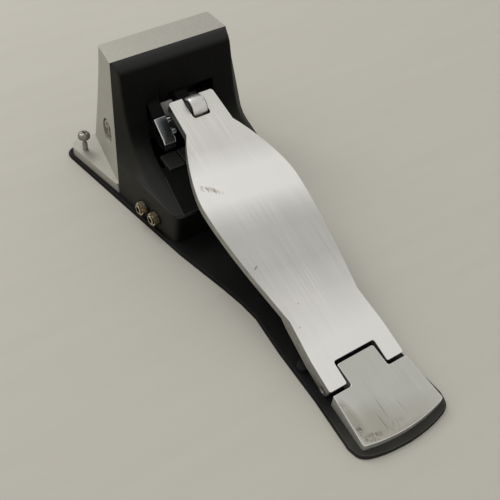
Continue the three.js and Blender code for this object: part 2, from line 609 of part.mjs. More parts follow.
// ---------- jacks and circuit board ----------
function jacks() {
  JACKS.forEach(({ y, face }, i) => {
    const at = [y, JACK_Z];
    const seat = JACK_SEAT - face;
    const inside = JACK_INNER - face + FIT;
    const shell = block([inside, y - 7, JACK_Z - 7], [inside + 20, y + 7, JACK_Z + 7]);
    const body = join(shell, rod('x', 4.5, -face, inside + 1, at));
    add(`jack_${i + 1}`, cut(body, rod('x', 3.2, -face - 1, inside + 16, at, 20)), NYLON);
    const collar = rod('x', 4.75, -80, 0, at, 20);
    add(`jack_washer_${i + 1}`, cut(rod('x', 7.2, seat - 0.9, seat - 0.1, at), collar), STEEL);
    const nut = rod('x', 7, seat - 1 - JACK_NUT, seat - 1, at, 6);
    add(`jack_nut_${i + 1}`, cut(nut, collar), BRASS);
  });
  add('circuit_board', block([-56, 73, 7], [-20, 106, 8.6]), BOARD_GREEN);
  for (const [i, y] of [77, 101].entries()) {
    add(`board_standoff_${i + 1}`, rod('z', 2.5, BASE_TOP, 7 - FIT / 2, [-28, y], 16), NYLON);
  }
}

// ---------- stops and anchor screws ----------
function stops() {
  const down = BOARD_ANGLE - BOARD_TRAVEL;
  const pressed = HINGE.z + below(BOARD_THICK) / Math.cos(down) - FIT;
  const under = (y) => pressed + (y - HINGE.y) * Math.tan(down);
  const panel = (y) => PANEL_HEIGHT + PANEL_THICK + y * Math.tan(PANEL_SLOPE) + FIT;
  const [front, back] = [57, 73];
  const side = [[front, panel(front)], [back, panel(back)], [back, under(back)], [front, under(front)]];
  add('board_stop', profile(side, -12, 12), RUBBER);
  add('heel_bumper', rod('z', 5, BASE_TOP, 8.6, [-36.8, -118.5], 24), RUBBER);
}

function anchorScrews() {
  for (const [side, name] of SIDES) {
    const dome = [[0, 29.4], [6, 29.4], [6.1, 32.4], [5.2, 34.3], [3, 35.2], [0, 35.4]];
    const section = dome.map(([r, z]) => new THREE.Vector2(r, z));
    const head = new THREE.LatheGeometry(section, 24).rotateX(Math.PI / 2);
    const shank = rod('z', ANCHOR.shank, 5, 30, [0, 0], 20);
    const cross = [block([-2.6, -0.6, 33], [2.6, 0.6, 37]), block([-0.6, -2.6, 33], [0.6, 2.6, 37])];
    const screw = add(`anchor_screw_${name}`, cut(join(head, shank), ...cross), STEEL);
    screw.position.set(side * ANCHOR.x, ANCHOR.y, 0);
  }
}

soleAndPlate();
baseScrews();
add('heel_plate', heelPlate(), BRUSHED);
hinge();
footboard();
roller();
hammerParts();
bracket();
padAssembly();
springSet();
frontShell();
frontPanel();
rearShell();
jacks();
stops();
anchorScrews();

export default group;
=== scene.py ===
"""The looks of the kick trigger pedal: its camera, floor, light, materials and detailed pieces."""

import json
from math import cos, pi, radians, sin

import bmesh
import bpy
from mathutils import Matrix, Vector

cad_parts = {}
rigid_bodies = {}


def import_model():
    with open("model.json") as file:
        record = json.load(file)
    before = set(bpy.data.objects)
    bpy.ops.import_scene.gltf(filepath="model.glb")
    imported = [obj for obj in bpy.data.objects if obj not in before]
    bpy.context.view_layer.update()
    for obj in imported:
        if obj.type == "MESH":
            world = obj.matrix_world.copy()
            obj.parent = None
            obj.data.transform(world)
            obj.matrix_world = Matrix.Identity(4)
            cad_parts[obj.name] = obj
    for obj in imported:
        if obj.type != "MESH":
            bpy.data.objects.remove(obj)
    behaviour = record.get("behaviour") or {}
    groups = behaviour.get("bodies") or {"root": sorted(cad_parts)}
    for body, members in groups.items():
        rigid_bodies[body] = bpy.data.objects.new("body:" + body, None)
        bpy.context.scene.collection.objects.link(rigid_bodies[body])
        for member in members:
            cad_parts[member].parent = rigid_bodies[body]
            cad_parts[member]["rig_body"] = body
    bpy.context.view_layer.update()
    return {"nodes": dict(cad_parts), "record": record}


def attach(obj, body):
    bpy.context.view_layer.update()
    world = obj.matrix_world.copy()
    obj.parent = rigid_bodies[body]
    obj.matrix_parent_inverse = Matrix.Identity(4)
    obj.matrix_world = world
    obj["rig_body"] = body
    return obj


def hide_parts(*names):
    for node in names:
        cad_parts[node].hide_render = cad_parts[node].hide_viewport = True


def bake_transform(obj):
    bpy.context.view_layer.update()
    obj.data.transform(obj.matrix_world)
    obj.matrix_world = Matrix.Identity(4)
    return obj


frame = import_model()
NODES = frame["nodes"]
MM = 0.001

# ---------- driving dimensions, in millimetres ----------
BOARD_ANGLE = radians(15.9)         # the footboard's rise towards its fork
HEEL_ANGLE = radians(7.9)           # the heel plate's rise
FORK_START = 92                     # Y where the board's worn fork begins
HINGE = (-147.5, 10.5)              # the heel hinge's Y and Z
PIVOT_FACE = 38.4                   # X beside the ears' outer faces
JACKS = [(97, 72.6), (79.6, 69.3)]  # each jack's Y, and how far left its mouth is in the CAD
JACK_Z = 16
NUT_FACE, NUT_SEAT = -1.2, 3.8      # the nut's ends, from the CAD mouth inwards
NUT_RADIUS = 7
NUT_BORE = 4.75
BUSHING_END = 1                     # corners outside this, from the CAD mouth inwards, are its end
BUSHING_REACH = 2.9                 # how far that end is drawn out
PLATED = 2                          # how far the plating goes in past the nut
THREAD_RIDGES = (-2.5, -1.9)        # from the CAD mouth inwards
ANCHOR = (80.1, 198.5)              # the right anchor screw's X and Y
SHAFT = (176, 98)                   # the hammer shaft's Y and Z
ARM_SLOPE = radians(34.4)           # the hammer arm's fall from the shaft
CLAMP_X = -21.2                     # just off the weight's right side
CLAMP_REACHES = (46, 58)            # along the arm from the shaft
CLAMP_RISE = 0.8                    # above the arm's middle line
SPRING_X = -52
SPRING_LOW = (174, 63)              # lower end, Y and Z: it stops short of the knob's crank
SPRING_HIGH = (186.6, 90)           # upper end, Y and Z: it stops short of the hammer's lever


# ---------- node materials ----------
def new_material(name, colour, roughness, metallic=0.0, specular=0.5):
    """A material and its tree; the even values stand on the shader's own sockets."""
    made = bpy.data.materials.new(name)
    made.use_nodes = True
    shader = made.node_tree.nodes["Principled BSDF"]
    shader.inputs["Base Color"].default_value = (*colour, 1)
    shader.inputs["Roughness"].default_value = roughness
    shader.inputs["Metallic"].default_value = metallic
    shader.inputs["Specular IOR Level"].default_value = specular
    return made, made.node_tree, shader


def place(tree, scale=(1, 1, 1), turn=0.0, shift=(0, 0, 0), swing=0.0):
    """Object coordinates turned about X and Z and then stretched, in metres."""
    source = tree.nodes.new("ShaderNodeTexCoord")
    turned = tree.nodes.new("ShaderNodeMapping")
    turned.inputs["Rotation"].default_value = (-turn, 0, -swing)
    tree.links.new(source.outputs["Object"], turned.inputs["Vector"])
    stretched = tree.nodes.new("ShaderNodeMapping")
    stretched.inputs["Location"].default_value = shift
    stretched.inputs["Scale"].default_value = scale
    tree.links.new(turned.outputs["Vector"], stretched.inputs["Vector"])
    return stretched.outputs["Vector"]


def noise(tree, vector, scale=1.0, detail=2.0, rough=0.5):
    """Noise about 0.5 that changes over 1 / scale."""
    made = tree.nodes.new("ShaderNodeTexNoise")
    made.inputs["Scale"].default_value = scale
    made.inputs["Detail"].default_value = detail
    made.inputs["Roughness"].default_value = rough
    tree.links.new(vector, made.inputs["Vector"])
    return made.outputs["Fac"]


def spread(tree, value, low, high, to_low=0.0, to_high=1.0):
    """value from low..high to to_low..to_high, clamped."""
    made = tree.nodes.new("ShaderNodeMapRange")
    made.inputs["From Min"].default_value = low
    made.inputs["From Max"].default_value = high
    made.inputs["To Min"].default_value = to_low
    made.inputs["To Max"].default_value = to_high
    tree.links.new(value, made.inputs["Value"])
    return made.outputs["Result"]


def maths(tree, how, first, second=0.0):
    """first and second, each a number or a socket, joined by a Math node."""
    made = tree.nodes.new("ShaderNodeMath")
    made.operation = how
    for i, value in enumerate((first, second)):
        if isinstance(value, (int, float)):
            made.inputs[i].default_value = value
        else:
            tree.links.new(value, made.inputs[i])
    return made.outputs["Value"]


def tint(tree, amount, below, above):
    """A colour between below and above by amount; either may be a colour or a socket."""
    made = tree.nodes.new("ShaderNodeMix")
    made.data_type = "RGBA"
    tree.links.new(amount, made.inputs["Factor"])
    for name, value in (("A", below), ("B", above)):
        socket = [s for s in made.inputs if s.name == name and s.type == "RGBA"][0]
        if isinstance(value, tuple):
            socket.default_value = (*value, 1)
        else:
            tree.links.new(value, socket)
    return [s for s in made.outputs if s.type == "RGBA"][0]


def share(tree, first, second, part):
    """first and second added up, with the given part of second."""
    rest = maths(tree, "MULTIPLY", first, 1 - part)
    return maths(tree, "ADD", rest, maths(tree, "MULTIPLY", second, part))


def relief(tree, shader, height, strength, depth):
    """Bump of the given depth in metres."""
    made = tree.nodes.new("ShaderNodeBump")
    made.inputs["Strength"].default_value = strength
    made.inputs["Distance"].default_value = depth
    tree.links.new(height, made.inputs["Height"])
    tree.links.new(made.outputs["Normal"], shader.inputs["Normal"])


def shade(colour, factor):
    """The colour made darker or lighter."""
    return tuple(min(1.0, c * factor) for c in colour)


def band(tree, value, middle, half, soft):
    """1 where value is within half of middle, fading out over soft."""
    away = maths(tree, "ABSOLUTE", maths(tree, "SUBTRACT", value, middle))
    return spread(tree, away, half, half + soft, 1.0, 0.0)


def axes(tree, vector):
    """The X, Y and Z sockets of a vector."""
    made = tree.nodes.new("ShaderNodeSeparateXYZ")
    tree.links.new(vector, made.inputs["Vector"])
    return made.outputs


def brushed(name, colour, roughness, turn=0.0, marks=(), contrast=1.0):
    """Aluminium brushed lengthwise, with long scratches and the given marks: stains, and soft zones
    of painted highlight and painted shade.
    """
    made, tree, shader = new_material(name, colour, roughness, 0.9)
    fine = noise(tree, place(tree, (1500, 22, 1500), turn), detail=3)
    lines = noise(tree, place(tree, (1050, 14, 1050), turn, (3, 1, 0)), detail=2)
    streak = noise(tree, place(tree, (260, 9, 260), turn, (7, 2, 0)), detail=3)
    cloud = noise(tree, place(tree, (16, 16, 16), turn), detail=3)
    sweep = noise(tree, place(tree, (34, 7, 34), turn, (2, 9, 0)), detail=2)
    grain = share(tree, fine, lines, 0.6)
    tone = share(tree, grain, streak, 0.16)
    even = tint(
        tree, spread(tree, tone, 0.3, 0.7),
        shade(colour, 1 - 0.17 * contrast), shade(colour, 1 + 0.08 * contrast))
    darker = spread(tree, sweep, 0.38, 0.66, 0.0, 0.45 * contrast)
    even = tint(tree, darker, even, shade(colour, 0.84))
    thin = noise(tree, place(tree, (160, 2.2, 160), turn, (11, 5, 0)), detail=0)
    scratch = band(tree, thin, 0.5, 0.0006, 0.0009)
    patch = noise(tree, place(tree, (30, 30, 30), turn, (5, 0, 0)), detail=1)
    patch = spread(tree, patch, 0.5, 0.62)
    scored = maths(tree, "MULTIPLY", maths(tree, "MULTIPLY", scratch, patch), 0.55)
    result = tint(tree, scored, even, shade(colour, 0.45))
    result = tint(tree, spread(tree, cloud, 0.52, 0.75, 0.0, 0.35), result, shade(colour, 0.80))
    # each mark tints towards its colour: stains, and on the board also soft zones of painted
    # highlight and painted shade
    for where, size, swing, ragged, strength, stain_and_sheen in marks:
        middle = Matrix.Rotation(-swing, 3, "Z") @ Vector(where)
        spot = place(
            tree, tuple(1 / reach for reach in size), 0.0,
            tuple(-at / reach for at, reach in zip(middle, size)), swing)
        length = tree.nodes.new("ShaderNodeVectorMath")
        length.operation = "LENGTH"
        tree.links.new(spot, length.inputs[0])
        inside = spread(tree, length.outputs["Value"], 0.35, 1.0, 1.0, 0.0)
        if ragged:
            torn = noise(tree, place(tree, (420, 210, 420), turn), detail=4, rough=0.65)
            inside = maths(tree, "MULTIPLY", inside, spread(tree, torn, 0.44, 0.64))
        amount = maths(tree, "MULTIPLY", inside, strength)
        result = tint(tree, amount, result, stain_and_sheen)
    tree.links.new(result, shader.inputs["Base Color"])
    gloss = spread(tree, tone, 0.25, 0.75, roughness - 0.05, roughness + 0.08)
    tree.links.new(gloss, shader.inputs["Roughness"])
    relief(tree, shader, grain, 0.22, 0.0001)
    return made


def moulded(
        name, colour, roughness, grain=900, strength=0.15, dust=0.25, specular=0.5, heel=None):
    """Plastic, rubber or powder coat: a fine texture, with lighter wear and dust in soft patches.

    heel is the lighter colour that it turns to beside the heel plate.
    """
    made, tree, shader = new_material(name, colour, roughness, 0.0, specular)
    texture = noise(tree, place(tree), grain, 3)
    patch = noise(tree, place(tree), 34, 4, 0.6)
    wear_and_painted_light = spread(tree, patch, 0.42, 0.8, 0.0, dust)
    pale = tuple(c * 2 + 0.03 for c in colour)
    speck = spread(tree, noise(tree, place(tree), grain * 0.6, 2), 0.35, 0.75, 0.0, 0.3)
    result = tint(tree, wear_and_painted_light, tint(tree, speck, colour, shade(colour, 1.5)), pale)
    if heel:
        y = axes(tree, place(tree))[1]
        near = spread(tree, y, -0.155, -0.195)
        lighter_near_heel = maths(tree, "MULTIPLY", near, spread(tree, patch, 0.3, 0.6, 0.7, 1.0))
        result = tint(tree, lighter_near_heel, result, heel)
    tree.links.new(result, shader.inputs["Base Color"])
    gloss = spread(tree, patch, 0.3, 0.75, roughness - 0.06, roughness + 0.1)
    tree.links.new(gloss, shader.inputs["Roughness"])
    relief(tree, shader, texture, strength, 0.0002)
    return made


def shell_plastic(name, front, upper, side, rim_colour, dust):
    """Moulded black plastic with painted light and shade by the way each face points: darkest on
    its smooth front, lighter on top and at the textured sides by painted light.
    """
    made, tree, shader = new_material(name, front, 0.55, 0.0, 0.10)
    source = tree.nodes.new("ShaderNodeTexCoord")
    x, y, z = axes(tree, source.outputs["Object"])
    across, _, rise = axes(tree, source.outputs["Normal"])
    across = maths(tree, "ABSOLUTE", across)
    patch = noise(tree, place(tree), 34, 4, 0.6)
    speck = noise(tree, place(tree), 620, 2)
    # painted light on the faces that turn up: the wings beside the window, weaker towards the back,
    # and the top of the housing
    wing = spread(tree, maths(tree, "ABSOLUTE", x), 0.038, 0.051)
    wing = maths(tree, "MULTIPLY", wing, spread(tree, y, 0.112, 0.135, 1.0, 0.45))
    wear_and_painted_light = maths(tree, "MAXIMUM", wing, spread(tree, z, 0.095, 0.115))
    wear_and_painted_light = maths(tree, "MULTIPLY", spread(tree, rise, 0.38, 0.72), wear_and_painted_light)
    even = tint(tree, wear_and_painted_light, front, upper)
    # painted light on the upright sides, with painted shade that makes them darker towards the nose
    flank = tint(tree, spread(tree, y, 0.058, 0.105), shade(side, 0.72), side)
    even = tint(tree, spread(tree, across, 0.35, 0.92), even, flank)
    # a painted highlight: a pale line along the rounded rim between wing and side, which ends
    # before the top
    rim = spread(tree, maths(tree, "MULTIPLY", across, rise), 0.455, 0.495, 0.0, 0.7)
    rim = maths(tree, "MULTIPLY", rim, spread(tree, y, 0.100, 0.118, 1.0, 0.0))
    even = tint(tree, rim, even, rim_colour)
    dusty = tint(tree, spread(tree, patch, 0.42, 0.8, 0.0, 0.06), even, dust)
    specked = tint(tree, spread(tree, speck, 0.3, 0.7, 0.0, 0.12), dusty, side)
    tree.links.new(specked, shader.inputs["Base Color"])
    tree.links.new(spread(tree, patch, 0.3, 0.75, 0.48, 0.64), shader.inputs["Roughness"])
    relief(tree, shader, noise(tree, place(tree), 1000, 3), 0.2, 0.0002)
    return made


def painted(name, colour, roughness):
    """Silver paint: metal flakes, faint orange peel and a few handling marks."""
    made, tree, shader = new_material(name, colour, roughness, 0.55, 0.5)
    flakes = tree.nodes.new("ShaderNodeTexVoronoi")
    flakes.inputs["Scale"].default_value = 2600
    tree.links.new(place(tree), flakes.inputs["Vector"])
    glint = axes(tree, flakes.outputs["Color"])[0]
    patch = noise(tree, place(tree), 22, 4, 0.6)
    flaked = tint(tree, glint, shade(colour, 0.86), shade(colour, 1.14))
    handled = tint(tree, spread(tree, patch, 0.5, 0.9, 0.0, 0.3), flaked, shade(colour, 0.86))
    tree.links.new(handled, shader.inputs["Base Color"])
    gloss = spread(tree, patch, 0.3, 0.7, roughness - 0.05, roughness + 0.1)
    tree.links.new(gloss, shader.inputs["Roughness"])
    relief(tree, shader, noise(tree, place(tree), 420, 2), 0.06, 0.0003)
    return made


def plain_metal(
        name, colour, roughness, grain=(900, 900, 900), wear=0.25, strength=0.08, metallic=1.0):
    """Turned, plated or cast metal, with slightly uneven gloss and dull patches."""
    made, tree, shader = new_material(name, colour, roughness, metallic)
    lines = noise(tree, place(tree, grain), detail=3)
    patch = noise(tree, place(tree), 140, 3)
    lined = tint(tree, lines, shade(colour, 0.88), shade(colour, 1.08))
    dulled = tint(tree, spread(tree, patch, 0.45, 0.75, 0.0, wear), lined, shade(colour, 0.55))
    tree.links.new(dulled, shader.inputs["Base Color"])
    gloss = spread(tree, patch, 0.3, 0.75, roughness * 0.8, roughness + 0.1)
    tree.links.new(gloss, shader.inputs["Roughness"])
    relief(tree, shader, lines, strength, 0.0001)
    return made


# A mark's middle and half-sizes in metres, turn about Z, whether it is ragged, strength, colour.
# The board's first three are long soft zones that are lighter or darker than the rest: painted
# reflection, with a painted highlight near the middle, painted shade below it and a painted
# highlight at the foot; the rest are stains.
BOARD_STAINS_AND_SHEEN = [
    ((0.0, 0.034, 0.07), (0.3, 0.038, 0.3), radians(-8), False, 0.95, (1.0, 0.995, 0.965)),
    ((0.0, -0.032, 0.05), (0.3, 0.050, 0.3), radians(-8), False, 0.45, (0.40, 0.40, 0.38)),
    ((0.0, -0.140, 0.02), (0.3, 0.060, 0.3), 0, False, 0.8, (1.0, 0.995, 0.965)),
    ((-0.0335, 0.0385, 0.0735), (0.0145, 0.0034, 0.01), radians(-36), True, 0.85,
     (0.26, 0.20, 0.14)),
    ((-0.0358, -0.0402, 0.051), (0.0034, 0.0007, 0.004), radians(28), False, 0.8,
     (0.08, 0.08, 0.08)),
    ((-0.0305, -0.100, 0.034), (0.0012, 0.0008, 0.003), 0, False, 0.5, (0.15, 0.14, 0.12)),
    ((-0.020, -0.082, 0.039), (0.0008, 0.0011, 0.003), 0, False, 0.45, (0.15, 0.14, 0.12)),
]
HEEL_MARKS = [
    ((-0.036, -0.184, 0.014), (0.007, 0.022, 0.02), 0, False, 0.6, (0.33, 0.31, 0.26)),
    ((-0.019, -0.192, 0.013), (0.024, 0.020, 0.02), 0, False, 0.4, (0.42, 0.40, 0.34)),
    ((0.0, -0.2115, 0.010), (0.040, 0.006, 0.02), 0, False, 0.6, (0.28, 0.27, 0.24)),
    ((0.0, -0.205, 0.012), (0.050, 0.020, 0.020), 0, False, 0.6, (0.50, 0.485, 0.43)),
    ((-0.026, -0.196, 0.013), (0.020, 0.022, 0.012), radians(8), False, 0.25, (0.34, 0.31, 0.24)),
    ((-0.0365, -0.194, 0.0135), (0.0040, 0.010, 0.012), radians(4), True, 0.9, (0.10, 0.075, 0.05)),
    ((-0.030, -0.2025, 0.012), (0.012, 0.005, 0.012), radians(-6), True, 0.8, (0.13, 0.10, 0.07)),
    ((-0.037, -0.170, 0.016), (0.0045, 0.009, 0.012), 0, True, 0.6, (0.20, 0.16, 0.11)),
    ((-0.010, -0.203, 0.012), (0.016, 0.006, 0.012), 0, True, 0.4, (0.30, 0.27, 0.21)),
    ((-0.016, -0.196, 0.013), (0.0004, 0.011, 0.012), radians(3), False, 0.7, (0.12, 0.11, 0.10)),
    ((-0.0095, -0.186, 0.014), (0.0004, 0.013, 0.012), radians(-2), False, 0.6, (0.15, 0.14, 0.12)),
    ((0.006, -0.192, 0.013), (0.0004, 0.009, 0.012), radians(4), False, 0.4, (0.20, 0.18, 0.15)),
]
ALU = (0.88, 0.875, 0.835)
# the shell's colours: upper, side and rim_colour are painted light over the black front; dust is
# the colour of the dust patches
SHELL = {
    "front": (0.0008, 0.0008, 0.0007),
    "upper": (0.0285, 0.0285, 0.029),
    "side": (0.0305, 0.030, 0.0253),
    "rim_colour": (0.062, 0.062, 0.058),
    "dust": (0.05, 0.05, 0.046),
}
MATERIALS = {
    "board": brushed("brushed_board", ALU, 0.42, BOARD_ANGLE, BOARD_STAINS_AND_SHEEN, 1.5),
    "heel": brushed("brushed_heel", (0.665, 0.67, 0.625), 0.42, HEEL_ANGLE, HEEL_MARKS),
    # the fork's steep sides, darker than the other sides: dark scuffs and painted shade in the fork
    "fork_flank": plain_metal(
        "fork_side_scuffs_and_shade", (0.20, 0.195, 0.18), 0.42, (500, 300, 500), 0.9, 0.4),
    # the board's steep sides in a darker copy of the aluminium
    "flank": plain_metal("darker_board_side", (0.47, 0.46, 0.43), 0.45, (300, 120, 300), 0.5, 0.2),
    "heel_flank": plain_metal(
        "milled_heel_side", (0.60, 0.59, 0.55), 0.45, (300, 120, 300), 0.5, 0.2, 0.72),
    "heel_front": plain_metal(
        "milled_heel_front", (0.62, 0.61, 0.57), 0.38, (500, 60, 120), 0.8, 0.3, 0.6),
    # the heel plate's rounded edges, near white: a painted highlight
    "heel_edge": plain_metal("heel_edge_highlight", (0.98, 0.98, 0.96), 0.25, (400, 150, 400), 0.3, 0.1),
    "edge": plain_metal("scuffed_edge", (0.58, 0.58, 0.61), 0.34, (400, 150, 400), 0.75, 0.3),
    "silver": painted("silver_paint", (0.43, 0.42, 0.375), 0.5),
    # the silver shell's rounded edges, lighter than the paint: a painted highlight
    "silver_edge": painted("paint_edge_highlight", (0.72, 0.71, 0.65), 0.42),
    "black": shell_plastic("black_plastic", **SHELL),
    "inlay": moulded("black_inlay", (0.0075, 0.0078, 0.0072), 0.8, 700, dust=0.06, specular=0.05),
    # a painted highlight along the rounded edges of the inlay and the sill pads
    "edge_highlight": moulded("edge_highlight", (0.055, 0.055, 0.055), 0.5, 900, dust=0.2, specular=0.3),
    "rubber": moulded(
        "rubber", (0.013, 0.013, 0.0125), 0.7, 600, 0.25, 0.35, 0.15, (0.032, 0.032, 0.028)),
    "pad": moulded("dark_rubber", (0.031, 0.031, 0.031), 0.7, 600, 0.25, 0.1, 0.1),
    "coat": moulded(
        "black_coat", (0.0085, 0.0085, 0.0085), 0.5, 1300, 0.2, 0.1, 0.1, (0.050, 0.050, 0.046)),
    # the base plate's rounded edge: a painted highlight line, lighter still beside the heel plate
    "coat_edge": moulded(
        "coat_edge_highlight", (0.040, 0.040, 0.040), 0.4, 1300, 0.2, 0.3, 0.3, (0.17, 0.17, 0.155)),
    "steel": plain_metal("steel", (0.46, 0.46, 0.455), 0.3),
    "screw": plain_metal("zinc_screw", (0.30, 0.285, 0.26), 0.42, (700, 700, 700), 0.6, 0.2),
    "tread": plain_metal("roller_tread", (0.80, 0.79, 0.76), 0.38, (90, 1400, 1400), 0.4),
    # chrome in a dark copy for the hammer weight's faces and a bright copy for its rounded edges:
    # painted reflection, dark on the faces and a painted highlight on the edges; the clamp screws
    # use the bright copy
    "chrome": plain_metal("dark_chrome", (0.36, 0.39, 0.41), 0.24, (150, 150, 150), 0.9, 0.2),
    "bright": plain_metal("bright_chrome", (0.80, 0.81, 0.82), 0.10, (60, 60, 60), 0.2, 0.02),
    "cast": moulded("cast_metal", (0.006, 0.006, 0.006), 0.5, 420, 0.4, 0.15, 0.08),
    "grey": moulded("grey_plate", (0.030, 0.030, 0.026), 0.5, 900, 0.2, 0.3, 0.2),
    "nickel": plain_metal("nickel", (0.52, 0.49, 0.42), 0.3, (500, 500, 500), 0.5),
    "brass": plain_metal("plated_brass", (0.70, 0.60, 0.42), 0.25, (500, 500, 500), 0.4),
    # the nuts' faces in brass and their chamfered edges near white: painted glints on the edges
    "nut": plain_metal("nut_faces", (0.66, 0.57, 0.39), 0.13, (500, 500, 500), 0.5),
    "nut_edge": plain_metal("nut_edges", (1.0, 0.95, 0.80), 0.3, (500, 500, 500), 0.1),
    "nylon": moulded("nylon", (0.006, 0.006, 0.006), 0.4, 800, 0.1, specular=0.15),
    "laminate": moulded("laminate", (0.012, 0.07, 0.035), 0.4, 700, 0.15),
}


# ---------- mesh helpers ----------
def mesh_piece(name, points, faces):
    """A mesh object from points in millimetres."""
    mesh = bpy.data.meshes.new(name)
    mesh.from_pydata([tuple(c * MM for c in p) for p in points], [], faces)
    mesh.validate()
    made = bpy.data.objects.new(name, mesh)
    bpy.context.scene.collection.objects.link(made)
    return made


def skin(rings):
    """Points and faces through rings of equal length, with the two end caps."""
    count = len(rings[0])
    points = [p for ring in rings for p in ring]
    faces = []
    for level in range(len(rings) - 1):
        for i in range(count):
            a, b = level * count + i, level * count + (i + 1) % count
            faces.append((a, b, b + count, a + count))
    faces.append(tuple(reversed(range(count))))
    faces.append(tuple(range((len(rings) - 1) * count, len(rings) * count)))
    return points, faces


def lathe(name, section, axis, centre, sides=48):
    """A solid turned about X or Z; section: (radius, distance along the axis) pairs."""
    rings = []
    for radius, along in section:
        ring = []
        for i in range(sides):
            angle = 2 * pi * i / sides
            u, v = radius * cos(angle), radius * sin(angle)
            offset = {"x": (along, u, v), "z": (u, v, along)}[axis]
            ring.append(tuple(c + o for c, o in zip(centre, offset)))
        rings.append(ring)
    return mesh_piece(name, *skin(rings))


def turned_right(piece):
    """Makes every face look outwards."""
    work = bmesh.new()
    work.from_mesh(piece.data)
    bmesh.ops.recalc_face_normals(work, faces=work.faces)
    work.to_mesh(piece.data)
    work.free()
    return piece


def hoop(name, section, y, z, sides=40):
    """A closed ring turned about an axis along X; section: (radius, x) pairs."""
    points = []
    for i in range(sides):
        angle = 2 * pi * i / sides
        points += [(x, y + r * cos(angle), z + r * sin(angle)) for r, x in section]
    count = len(section)
    faces = []
    for i in range(sides):
        here, ahead = i * count, (i + 1) % sides * count
        for j in range(count):
            beside = (j + 1) % count
            faces.append((here + j, here + beside, ahead + beside, ahead + j))
    return turned_right(mesh_piece(name, points, faces))


def smooth(piece, sharp=None):
    """Shades the faces smoothly, except across edges sharper than the given angle."""
    for face in piece.data.polygons:
        face.use_smooth = True
    if sharp:
        piece.data.set_sharp_from_angle(angle=radians(sharp))
    return piece


def rounded(piece, width, segments, angle, edge=None):
    """Rounds the sharp edges by real geometry and shades the rest smoothly."""
    bevel = piece.modifiers.new("round", "BEVEL")
    bevel.width = width * MM
    bevel.segments = segments
    bevel.limit_method = "ANGLE"
    bevel.angle_limit = radians(angle)
    bevel.miter_outer = "MITER_ARC"
    bevel.use_clamp_overlap = True
    if edge:
        piece.data.materials.append(MATERIALS[edge])
        bevel.material = len(piece.data.materials) - 1
    smooth(piece)
    normals = piece.modifiers.new("normals", "WEIGHTED_NORMAL")
    normals.keep_sharp = True


def apply_boolean(piece, cutter, how="DIFFERENCE"):
    """Cuts a piece with another mesh, which is removed."""
    step = piece.modifiers.new("cut", "BOOLEAN")
    step.operation = how
    step.solver = "EXACT"
    step.object = cutter
    bpy.context.view_layer.update()
    seen = piece.evaluated_get(bpy.context.evaluated_depsgraph_get())
    mesh = bpy.data.meshes.new_from_object(seen)
    piece.modifiers.clear()
    old = piece.data
    piece.data = mesh
    bpy.data.meshes.remove(old)
    bpy.data.objects.remove(cutter)


def dress(piece, material, body, slot, *nodes):
    """Gives a piece its material and body, and hides the CAD nodes it stands for; slot is not used.
    """
    if piece.data.materials:
        piece.data.materials[0] = MATERIALS[material]
    else:
        piece.data.materials.append(MATERIALS[material])
    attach(piece, body)
    if nodes:
        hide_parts(*nodes)
    return piece


def paint_faces(piece, material, test):
    """Gives the faces that pass test(normal, middle) a second material."""
    piece.data.materials.append(MATERIALS[material])
    index = len(piece.data.materials) - 1
    for face in piece.data.polygons:
        if test(face.normal, face.center):
            face.material_index = index


SLOTS = {row["node"]: row["material_slot"] for row in frame["record"]["subparts"]}


def body_of(node):
    return NODES[node]["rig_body"]


def upwards(slope):
    """The way up from a surface that slopes up towards the back."""
    return Vector((0, -sin(slope), cos(slope)))


def tilted(slope):
    """A test for faces that stand steeply beside a sloping surface."""
    return lambda normal, middle: abs(normal.dot(upwards(slope))) < 0.5


def upright_corner(slope, spots):
    """A test for corner edges that stand on a sloping surface, at the (x, y) spots, both sides."""
    def test(middle, along):
        near = any(
            abs(abs(middle.x) - x * MM) < MM and abs(middle.y - y * MM) < MM for x, y in spots)
        return near and abs(along.dot(upwards(slope))) > 0.95
    return test


def round_corners(work, test, radius):
    """Rounds the long edges that pass test(middle, direction)."""
    picked = []
    for edge in work.edges:
        start, end = (corner.co for corner in edge.verts)
        if (end - start).length > 3 * MM and test((start + end) / 2, (end - start).normalized()):
            picked.append(edge)
    bmesh.ops.bevel(
        work, geom=picked, offset=radius * MM, offset_type="OFFSET", segments=4, profile=0.5,
        affect="EDGES", clamp_overlap=False)


def softened(node, material, width=0.5, segments=2, angle=32, edge=None, others=(), corners=()):
    """A copy of a CAD node with its flat facets merged and its edges rounded, in the node's place.

    edge is the rounded edges' material, others are (material, test) pairs for paint_faces, and
    corners are (test, radius) pairs for round_corners.
    """
    work = bmesh.new()
    work.from_mesh(NODES[node].data)
    bmesh.ops.remove_doubles(work, verts=work.verts, dist=2e-6)
    bmesh.ops.dissolve_limit(
        work, angle_limit=radians(0.8), use_dissolve_boundaries=False,
        verts=work.verts, edges=work.edges, delimit=set())
    for test, radius in corners:
        round_corners(work, test, radius)
    mesh = bpy.data.meshes.new(node + "_skin")
    work.to_mesh(mesh)
    work.free()
    piece = bpy.data.objects.new(node + "_skin", mesh)
    bpy.context.scene.collection.objects.link(piece)
    mesh.materials.clear()
    mesh.materials.append(MATERIALS[material])
    for face in mesh.polygons:
        face.material_index = 0
    for other in others:
        paint_faces(piece, *other)
    rounded(piece, width, segments, angle, edge)
    return dress(piece, material, body_of(node), SLOTS[node], node)


def kept(node, material):
    """A CAD node that stays, with a better material."""
    NODES[node].data.materials.clear()
    NODES[node].data.materials.append(MATERIALS[material])


